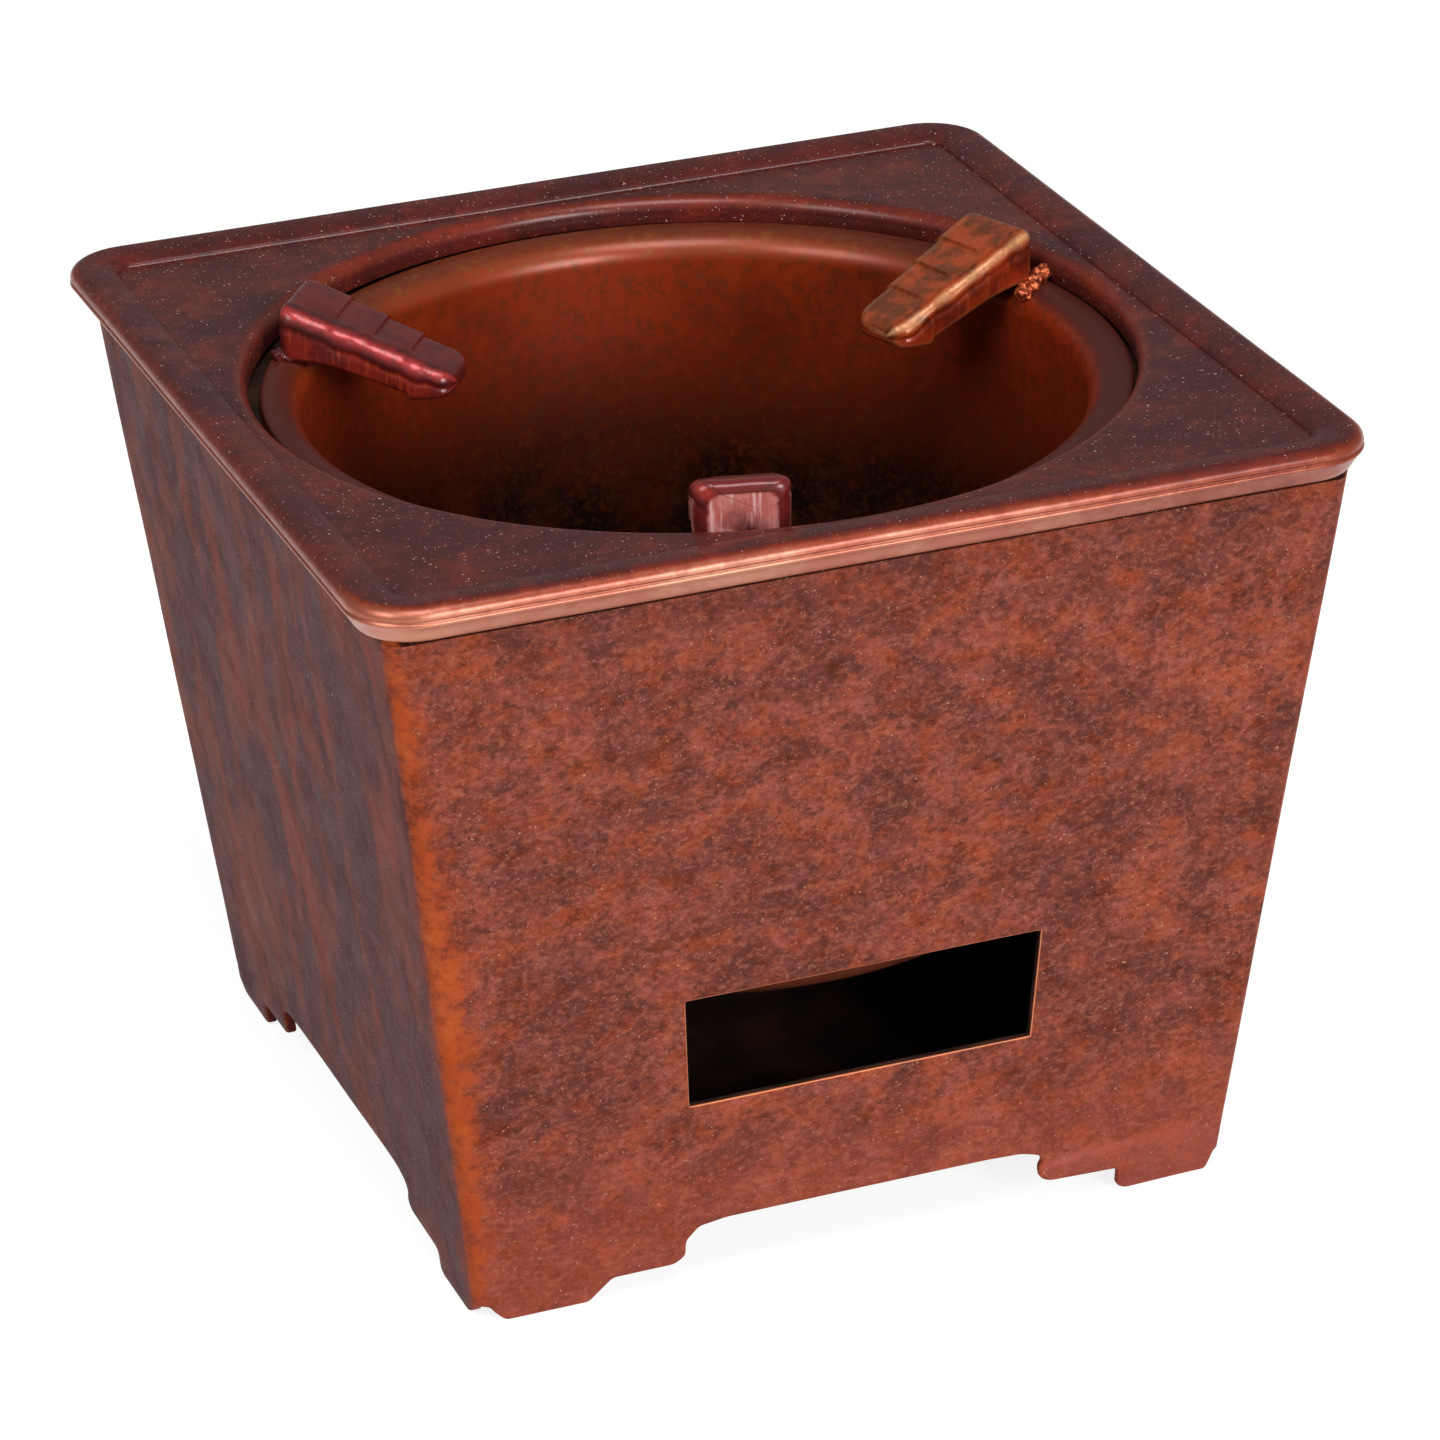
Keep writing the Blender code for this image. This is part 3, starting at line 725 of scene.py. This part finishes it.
def round_loop(radius):
    """Points round a circle, in line with those of the square."""
    return [(radius * x / math.hypot(x, y), radius * y / math.hypot(x, y))
            for x, y in square_loop(border_width, panel_corner)]


def cap_border():
    """The border's loops from the foot of its band over its bead to the panel, with height and wear."""
    section = list(cap_edge)
    for step in range(bead_steps + 1):
        angle = math.pi * (1 - step / (2 * bead_steps))
        section.append((crest_inset + (crest_inset - bead_inset) * math.cos(angle),
                        bead_low + (crest - bead_low) * math.sin(angle),
                        0.05 + bead_rub * (1 - step / bead_steps) ** 1.4))
    for step in range(1, slope_steps + 1):
        angle = math.pi / (2 * slope_steps) * step
        section.append((crest_inset + (border_width - crest_inset) * math.sin(angle),
                        panel_height + (crest - panel_height) * math.cos(angle),
                        0.05 * (1 - step / slope_steps)))
    section.append((panel_inset, panel_height, 0.0))
    loops = []
    for inset, height, rub in section:
        share = min(inset / border_width, 1.0)
        loops.append((square_loop(inset, rim_corner + (panel_corner - rim_corner) * share), height, rub))
    return loops


def cap_panel():
    """The loops of the panel, of the turned-down lip of its hole and of the underside."""
    loops = []
    bend_centre = hole_radius + lip_bend
    bend_height = panel_height - lip_bend
    edge = square_loop(panel_inset, panel_corner)
    hole = round_loop(bend_centre + 0.4)
    for share in (0.25, 0.5, 0.75, 1.0):
        between = [(ax + (bx - ax) * share, ay + (by - ay) * share) for (ax, ay), (bx, by) in zip(edge, hole)]
        loops.append((between, panel_height, 0.0))
    for step in range(9):
        angle = math.pi / 2 * (1 + step / 8)
        loops.append((round_loop(bend_centre + lip_bend * math.cos(angle)),
                      bend_height + lip_bend * math.sin(angle), lip_rub * math.sin(math.pi * step / 8)))
    for out, rise, rub in ((0.0, 0.5, 0.1), (0.1, 0.15, 0.2), (0.4, 0.0, 0.2), (plate_sheet, 0.0, 0.0)):
        loops.append((round_loop(hole_radius + out), lip_low + rise, rub))
    inner_bend = lip_bend - plate_sheet
    for step in range(5):
        angle = math.pi / 2 * (2 - step / 4)
        loops.append((round_loop(bend_centre + inner_bend * math.cos(angle)),
                      bend_height + inner_bend * math.sin(angle), 0.0))
    underside = panel_height - plate_sheet
    for inset, height in ((rim_half - wall_half(wall_top) - 0.3, underside), (rim_overhang, band_low)):
        inner = square_loop(inset, wall_bend)
        loops.append(([(x + right_swell(x, height), y) for x, y in inner], height, 0.0))
    return loops


def make_cap():
    """The pressed cap: sloping band, ridge, groove, bead, panel and the turned-down lip of its hole."""
    points = []
    rub = []
    rows = []
    for loop, height, wear in cap_border() + cap_panel():
        rows.append(range(len(points), len(points) + len(loop)))
        for x, y in loop:
            bow = 0.10 * wander(x, y, height, 30.0, 7.7)
            reach = max(abs(x), abs(y))
            corner = ease(78.0, 92.0, min(abs(x), abs(y)))
            points.append((x + bow * x / reach, y + bow * y / reach,
                           height + 0.06 * wander(x, y, 0.0, 22.0, 1.3)))
            dull = 1 - 0.5 * ease(88.0, 96.0, -x) * ease(-94.0, -78.0, y)
            dull -= 0.55 * ease(88.0, 96.0, -y) * ease(10.0, 80.0, x)
            rub.append(min(1.0, wear * (1 + 0.9 * corner)) * dull)
    piece = make_piece("pressed_cap", points, band_faces(rows + rows[:1]), [cap_finish], None, {"rub": rub})
    put_on(piece, "stove", "plate_copper", "top_plate")


def arc(centre, radius, start, end, count):
    """Points on an arc, with angles in degrees."""
    found = []
    for step in range(count):
        angle = math.radians(start + (end - start) * step / (count - 1))
        found.append((centre[0] + radius * math.cos(angle), centre[1] + radius * math.sin(angle)))
    return found


bowl_shoulder = 5.6
bowl_heel = 7.6
bowl_steps = 180


def bowl_section():
    """The bowl's section from its flange down the inside and up the outside, and where that turns."""
    roll = (bowl_radius + bowl_shoulder, flange_height - bowl_shoulder)
    heel_spot = (bowl_foot - bowl_heel, bowl_bottom + bowl_sheet + bowl_heel)
    section = [(flange_radius - back, flange_height - drop)
               for back, drop in ((0.0, 1.1), (0.0, 0.6), (0.1, 0.3), (0.35, 0.12), (1.0, 0.04), (2.4, 0.0))]
    section += arc(roll, bowl_shoulder, 90.0, 180.0, 14)
    for share in (0.2, 0.4, 0.6, 0.8):
        section.append((bowl_radius + (bowl_foot - bowl_radius) * share,
                        roll[1] + (heel_spot[1] - roll[1]) * share))
    section += arc(heel_spot, bowl_heel, 0.0, -90.0, 8)
    section += [(air_hole + 0.2, bowl_bottom + bowl_sheet), (air_hole, bowl_bottom + bowl_sheet - 0.2)]
    inside = len(section)
    section += [(air_hole, bowl_bottom + 0.2), (air_hole + 0.2, bowl_bottom)]
    section += arc(heel_spot, bowl_heel + bowl_sheet, -90.0, 0.0, 8)
    section += arc(roll, bowl_shoulder - bowl_sheet, 180.0, 90.0, 7)
    section.append((flange_radius - 0.3, flange_height - bowl_sheet))
    return section, inside


def make_bowl():
    """The spun bowl: crowned flange, rolled shoulder, leaning wall and a bottom with an air hole."""
    section, inside = bowl_section()
    flange_end = 6
    points = []
    rub = []
    flat = []
    outside = []
    rows = []
    for index, (radius, height) in enumerate(section):
        below = flange_height - height
        # The rub mark keeps to the back of the shoulder, for flecks that also serve as a painted highlight
        glow = 0.8 * (1 - ease(0.8, 5.0, abs(below - 1.6))) if index < inside else 0.0
        # The flat mark paints the flange and the top of the shoulder dark as shade, a little less at the back
        film = 1 - ease(0.3, 2.4, below) if flange_end < index < inside else float(index <= flange_end)
        slip = flange_slip if index < flange_end else 0.0
        rows.append(range(len(points), len(points) + bowl_steps))
        for step in range(bowl_steps):
            angle = math.tau * step / bowl_steps
            x = radius * math.cos(angle)
            y = radius * math.sin(angle)
            bow = 1 + 0.12 * wander(x, y, height, 28.0, 5.5) / radius
            points.append((bowl_centre[0] + slip + x * bow, bowl_centre[1] + y * bow, height))
            rub.append(glow * ease(0.1, 0.9, math.sin(angle)))
            flat.append(film * (1 - 0.25 * ease(0.3, 1.0, math.sin(angle))))
            outside.append(0.0 if index < inside else 1.0)
    piece = make_piece("spun_bowl", points, band_faces(rows + rows[:1]), [bowl_finish], None,
                       {"rub": rub, "flat": flat, "outside": outside})
    put_on(piece, "bowl", "bowl_copper", "fire_bowl")


# A lug, with its heights above the flange
facet_ends = (rest_inner, 56.6, 63.9, 71.5, rest_outer)
facet_stations = 9
facet_step = 0.75
rest_tip = -2.1
rest_width = 13.4
rest_widening = 5.4
belly_spot = 56.0
tip_low = -6.3
belly_drop = 0.9
foot_spot = rest_outer - 3.6
foot_low = 0.05
foot_rise = 7.25
tip_round = 3.2
heel_round = 3.0
arch_radius = 3.4
arch_length = 14.4
arch_aside = 1.5
arch_below = 1.5


def quarter_round(share):
    """How far a quarter circle has drawn in at a share of its reach."""
    return 1 - math.sqrt(1 - share ** 2)


def lug_size(radius, rise):
    """Half-width, underside and top of a lug at a distance from the bowl's middle."""
    share = (radius - rest_inner) / (rest_outer - rest_inner)
    top = rest_tip + (rise - rest_tip) * share
    half = (rest_width + rest_widening * share) / 2
    if radius < belly_spot:
        low = tip_low - belly_drop * (radius - rest_inner) / (belly_spot - rest_inner)
    else:
        low = foot_low - foot_rise * (1 - ease(-0.35, 1.0, (radius - belly_spot) / (foot_spot - belly_spot)))
    tip = 1 - min(radius - rest_inner, tip_round) / tip_round
    heel = 1 - min(rest_outer - radius, heel_round) / heel_round
    half -= 3.4 * quarter_round(tip) + 2.6 * quarter_round(heel)
    pull = 1.6 * quarter_round(max(0.0, 2 * tip - 1)) + 2.8 * quarter_round(heel)
    return half, low + min(pull, 0.9), top - pull


def lug_side(half, low, top, low_round, top_round, far):
    """One side of a lug's section from its lower edge over its shoulder, as lug_ring gives it."""
    part = []
    for x, z in arc((half - low_round, low + low_round), low_round, -90.0, 0.0, 4):
        part.append((x, z, 0.1, 0.8))
    for step in range(1, 9):
        z = low + low_round + (top - low - low_round - top_round) * step / 9
        dent = 0.30 * math.exp(-((top - top_round - 0.7 - z) / 0.55) ** 2)
        part.append((half - dent, z, 0.0, 1.0))
    for step, (x, z) in enumerate(arc((half - top_round, top - top_round), top_round, 0.0, 90.0, 9)):
        # The near shoulder's wear peaks narrowly in the middle of its round, as a painted highlight over the
        # rubbing; the far one is only a little rubbed
        wear = 0.2 if far else 0.95 * math.sin(math.pi * (step + 1) / 10) ** 6
        part.append((x, z, wear, 0.0))
    return part


def lug_ring(radius, rise, shoulder, seed, far_side):
    """The section of a lug across its length, as (sideways, height, rubbed, filed)."""
    half, low, top = lug_size(radius, rise)
    tall = top - low
    saw = 0.0
    for inner, outer in zip(facet_ends, facet_ends[1:]):
        if inner <= radius <= outer:
            saw = 0.5 - (radius - inner) / (outer - inner)
            break
    wave = 1 + 0.5 * wander(radius, 0.0, 0.0, 4.5, seed + 9.0)
    near_round = min(shoulder * wave, 0.46 * tall, 0.6 * half)
    far_round = min(1.9, 0.44 * tall, 0.6 * half)
    low_round = min(0.9, 0.3 * tall)
    ring = []
    for step in range(8):
        ring.append((-half + low_round + 2 * (half - low_round) * step / 8, low, 0.0, 0.3))
    for side in (1, -1):
        far = side == far_side
        top_round = far_round if far else near_round
        part = lug_side(half, low, top, low_round, top_round, far)
        if side > 0:
            ring += part
            for step in range(1, 14):
                x = half - top_round + (2 * top_round - 2 * half) * step / 14
                ring.append((x, top, 0.1, 0.0))
        else:
            ring += [(-x, z, rub, filed) for x, z, rub, filed in reversed(part)]
    shaped = []
    for x, z, rub, filed in ring:
        raised = ease(low, top, z)
        fade = ease(-1.0 * half, -0.1 * half, x * far_side)
        z += facet_step * saw * fade * raised
        x += 0.25 * wander(radius, x, z, 7.0, seed)
        z += 0.22 * wander(radius, x, z, 8.0, seed + 4.0) * raised
        shaped.append((x, z, rub, filed))
    return shaped


def carve_arch(piece, turn):
    """Cuts the round arch under the outer end of a lug."""
    mesh = bpy.data.meshes.new("lug_arch")
    bm = bmesh.new()
    bmesh.ops.create_cone(bm, cap_ends=True, segments=40, radius1=arch_radius * MM, radius2=arch_radius * MM,
                          depth=arch_length * MM)
    bm.to_mesh(mesh)
    bm.free()
    cutter = bpy.data.objects.new("lug_arch", mesh)
    bpy.context.scene.collection.objects.link(cutter)
    c = math.cos(turn)
    s = math.sin(turn)
    spot = Vector((bowl_centre[0] + c * rest_outer - s * arch_aside,
                   bowl_centre[1] + s * rest_outer + c * arch_aside, flange_height - arch_below))
    cutter.matrix_world = (Matrix.Translation(spot * MM) @ Matrix.Rotation(turn, 4, "Z")
                           @ Matrix.Rotation(math.pi / 2, 4, "Y"))
    carve = piece.modifiers.new("arch", "BOOLEAN")
    carve.object = cutter
    carve.solver = "EXACT"
    apply_modifiers(piece)
    bpy.data.objects.remove(cutter, do_unlink=True)


def make_lug(label, angle, finish, rise, shoulder, seed, far_side):
    """A wedge lug with stepped facets on its top, soft shoulders, and an arch under its outer end."""
    stations = []
    for inner, outer in zip(facet_ends, facet_ends[1:]):
        for step in range(facet_stations + 1):
            stations.append(inner + 0.06 + (outer - inner - 0.12) * step / facet_stations)
    stations += [rest_inner + gap for gap in (0.0, 0.15, 0.4, 0.8, 1.3, 2.0)]
    stations += [rest_outer - gap for gap in (0.0, 0.15, 0.4, 0.8, 1.3, 1.8)]
    stations = sorted(set(stations))
    turn = math.radians(angle)
    c = math.cos(turn)
    s = math.sin(turn)
    points = []
    rub = []
    filed = []
    rows = []
    for radius in stations:
        ring = lug_ring(radius, rise, shoulder, seed, far_side)
        rows.append(list(range(len(points), len(points) + len(ring))))
        for x, z, wear, mark in ring:
            points.append((bowl_centre[0] + c * radius - s * x, bowl_centre[1] + s * radius + c * x,
                           flange_height + z))
            rub.append(wear)
            filed.append(mark * ease(1.0, 2.4, rest_outer - radius))
    heel = rows[-1]
    middle = sum((Vector(points[index]) for index in heel), Vector()) / len(heel)
    rows.append(list(range(len(points), len(points) + len(heel))))
    for index in heel:
        points.append(tuple(Vector(points[index]).lerp(middle, 0.12)))
        rub.append(0.0)
        filed.append(1.0)
    faces = [tuple(rows[0]), tuple(reversed(rows[-1]))] + band_faces(rows)
    piece = make_piece("pot_lug_" + label, points, faces, [finish], None, {"rub": rub, "filed": filed}, 60.0)
    carve_arch(piece, turn)
    put_on(piece, "bowl", "rest_copper", "pot_rest_" + label)


def make_braze(label, crumbs, finish):
    """A run of filler at the root of a lug, from crumbs given as (x, y, z, size)."""
    bm = bmesh.new()
    for x, y, z, size in crumbs:
        made = bmesh.ops.create_icosphere(bm, subdivisions=2, radius=size * MM)
        for vert in made["verts"]:
            lumpy = 1 + 0.35 * noise.noise(vert.co / (0.9 * MM) + Vector((x, y, z)))
            vert.co = vert.co * lumpy + Vector((x, y, z)) * MM
    mesh = bpy.data.meshes.new("braze_" + label)
    bm.to_mesh(mesh)
    bm.free()
    mesh.materials.append(finish)
    piece = bpy.data.objects.new("braze_" + label, mesh)
    bpy.context.scene.collection.objects.link(piece)
    fuse = piece.modifiers.new("fuse", "REMESH")
    fuse.mode = "VOXEL"
    fuse.voxel_size = 0.16 * MM
    apply_modifiers(piece)
    piece.data.shade_smooth()
    put_on(piece, "bowl", "rest_copper")


def crumbs_along(start, end, count, size, spread, seed):
    """Crumbs scattered along a line."""
    found = []
    for index in range(count):
        share = index / max(count - 1, 1)
        spot = Vector(start).lerp(Vector(end), share)
        drift = Vector([wander(seed, index * 1.7, 4.1 * axis, 1.0, 0.3) for axis in range(3)]) * spread
        grow = 1 + 0.4 * noise.noise(Vector((index * 2.3, seed, 5.1)))
        found.append((spot.x + drift.x, spot.y + drift.y, spot.z + 0.4 * drift.z, size * grow))
    return found


def make_camera():
    """The photograph's viewpoint, in metres and degrees."""
    azimuth = math.radians(-20.71)
    elevation = math.radians(25.08)
    roll = math.radians(-1.44)
    distance = 1.21326
    target = Vector((3.88, 0.0, 78.54)) * MM
    back = Vector((math.sin(azimuth) * math.cos(elevation), -math.cos(azimuth) * math.cos(elevation),
                   math.sin(elevation)))
    right = Vector((math.cos(azimuth), math.sin(azimuth), 0.0))
    up = back.cross(right)
    level = Matrix((right, up, back)).transposed()
    camera = bpy.data.objects.new("camera", bpy.data.cameras.new("camera"))
    bpy.context.scene.collection.objects.link(camera)
    camera.data.sensor_width = 36.0
    camera.data.lens = 152.09
    camera.data.clip_start = 0.05
    camera.data.clip_end = 50.0
    camera.matrix_world = (Matrix.Translation(target + back * distance)
                           @ (level @ Matrix.Rotation(roll, 3, "Z")).to_4x4())
    bpy.context.scene.camera = camera


def white_card():
    """Matt white card: even and pale, and it keeps a faint shadow."""
    material = bpy.data.materials.new("white card, matt")
    material.use_nodes = True
    tree = material.node_tree
    tree.nodes.clear()
    path = add(tree, "LightPath", {})
    seen = add(tree, "Math", {0: path.outputs["Is Camera Ray"], 1: path.outputs["Is Glossy Ray"]},
               operation="MAXIMUM").outputs[0]
    seen = add(tree, "Math", {0: seen, 1: path.outputs["Is Transmission Ray"]},
               operation="MAXIMUM").outputs[0]
    card = add(tree, "BsdfDiffuse", {"Color": linear("E4E4E4")})
    shadowed = add(tree, "BsdfDiffuse", {"Color": linear("A0A0A0")})
    glow = add(tree, "Emission", {"Color": linear("FFFFFF"), "Strength": 0.86})
    shown = add(tree, "AddShader", {0: shadowed.outputs[0], 1: glow.outputs[0]})
    surface = add(tree, "MixShader", {0: seen, 1: card.outputs[0], 2: shown.outputs[0]})
    add(tree, "OutputMaterial", {"Surface": surface.outputs[0]})
    return material


def make_stage():
    """A pale round table top and a soft surround, in metres."""
    steps = 48
    reach = 12.0
    table_top = -0.0002
    rim = [(reach * math.cos(math.tau * step / steps), reach * math.sin(math.tau * step / steps), table_top)
           for step in range(steps)]
    mesh = bpy.data.meshes.new("table")
    mesh.from_pydata(rim, [], [tuple(range(steps))])
    mesh.materials.append(white_card())
    table = bpy.data.objects.new("table", mesh)
    bpy.context.scene.collection.objects.link(table)
    world = bpy.data.worlds.new("studio")
    world.use_nodes = True
    bpy.context.scene.world = world
    tree = world.node_tree
    tree.nodes.clear()
    soft = add(tree, "Background", {"Color": linear("FFFFFF"), "Strength": 0.22})
    add(tree, "OutputWorld", {"Surface": soft.outputs[0]})


def make_lamp(name, spot, aim, size, power):
    """A square soft box, in metres and watts."""
    lamp = bpy.data.lights.new(name, "AREA")
    lamp.shape = "SQUARE"
    lamp.size = size
    lamp.energy = power
    box = bpy.data.objects.new(name, lamp)
    bpy.context.scene.collection.objects.link(box)
    box.location = spot
    box.rotation_euler = (Vector(aim) - Vector(spot)).to_track_quat("-Z", "Y").to_euler()


wall_finish = patinated_copper(
    "red copper sheet, patinated and waxed",
    {"mid": "924938", "cloud": "7A3E33", "patch": "5A302A", "dark": "462824", "blush": "A64C30",
     "bright": "B06C54", "speck": "E0B090", "thin": "AA4820", "bare": "AC4A20", "bare_light": "B45C30",
     # The last, near black tone is a painted shadow under the rim's band
     # The low tone is painted light bounced up from the table
     # The pressed tone is a paler foot with a painted highlight along its crease
     # The side tone is painted shade on the side walls, under real streaks
     "side": "502628", "run": "8C341A", "pressed": "904A42", "low": "B2543E", "rim_shadow": "2A0E06",
     "orange": "96442A", "plum": "7A4440"},
    {"runs": 0.62, "tinge": 0.75, "patches": 0.8, "spots": 0.55, "torn": 0.55, "blush": 0.5, "grain": 0.4,
     "specks": 0.5, "thinning": 0.75, "metal": 0.1, "bare_metal": 0.3, "gloss": 0.42, "sheen": 0.02,
     "wax": 0.0})
cap_finish = patinated_copper(
    "red copper pressing, patinated and waxed",
    {"mid": "62201A", "cloud": "4A1B1B", "patch": "3E1919", "dark": "301818", "blush": "7C2A16",
     "bright": "702B26", "speck": "D8B4A4", "thin": "8E341A", "bare": "B0624A", "bare_light": "C48468",
     "orange": "6A2A18", "plum": "4A2024"},
    {"runs": 0.0, "tinge": 0.3, "patches": 0.6, "spots": 0.4, "torn": 0.9, "blush": 0.5, "grain": 0.2,
     "specks": 0.9, "thinning": 0.9, "metal": 0.1, "bare_metal": 0.75, "gloss": 0.36, "sheen": 0.08,
     "wax": 0.5})
bowl_finish = heat_tinted_copper("spun copper, heat tinted")
red_lug_finish = cast_copper(
    "cast copper, dark red patina",
    {"mid": "5C1A18", "dark": "421818", "side": "7A2016", "side_dark": "561610", "filed": "8E3418",
     # The bright red worn tone is a painted highlight on the near shoulder, over the rubbing
     "worn": "C03A38"}, wax=0.5)
# The front lug's face tones are laid pale pink: a painted sheen of the front light. Its worn tone is a
# painted highlight on the near shoulder
front_lug_painted_sheen_finish = cast_copper(
    "cast copper, pink red patina, painted sheen",
    {"mid": "6A1E1A", "dark": "4E1A1A", "side": "D48A82", "side_dark": "B8625A", "filed": "E4B4AC",
     "worn": "A83228"}, wax=0.5)
brown_lug_finish = cast_copper(
    "cast copper, brown patina",
    {"mid": "9C3812", "dark": "561E0C", "side": "86280E", "side_dark": "5A1A0C", "filed": "8E3614",
     # The pale cream worn tone is a painted highlight along the near shoulder, over the rubbing
     "worn": "D49868"}, wax=0.2)
braze_finish = braze_copper()
soot_finish = sooted_copper()

make_camera()
make_stage()
make_lamp("key_box", spot=(0.45, -1.5, 0.64), aim=(0.0, 0.0, 0.09), size=0.55, power=14.5)
make_lamp("top_box", spot=(-0.05, -0.5, 1.2), aim=(0.0, 0.0, 0.12), size=0.5, power=6.5)
make_lamp("fill_box", spot=(-1.0, -0.45, 1.0), aim=(0.0, 0.0, 0.12), size=0.6, power=7.0)

make_wall_wrap()
make_cap()
make_bowl()
make_lug("front", angle=-104.8, finish=front_lug_painted_sheen_finish, rise=12.5, shoulder=3.0, seed=11.0, far_side=1.0)
make_lug("right", angle=19.2, finish=brown_lug_finish, rise=11.9, shoulder=2.3, seed=17.0, far_side=1.0)
make_lug("left", angle=144.1, finish=red_lug_finish, rise=11.9, shoulder=3.4, seed=23.0, far_side=-1.0)
make_braze("right", crumbs_along((82.6, 19.6, 154.6), (76.4, 14.8, 152.4), count=34, size=1.15, spread=2.0,
                                 seed=2.0), braze_finish)
make_braze("left", crumbs_along((-70.5, 41.5, 154.0), (-65.0, 39.5, 153.2), count=8, size=1.5, spread=0.8,
                                seed=6.0), red_lug_finish)
make_braze("front", crumbs_along((-11.5, -77.0, 153.6), (-9.8, -74.2, 153.4), count=4, size=0.7, spread=0.4,
                                 seed=9.0), red_lug_finish)

for node in ("floor_plate", "bowl_seat_ring", "fire_grate"):
    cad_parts[node].data.materials[0] = soot_finish

bpy.context.scene.view_settings.view_transform = "Standard"
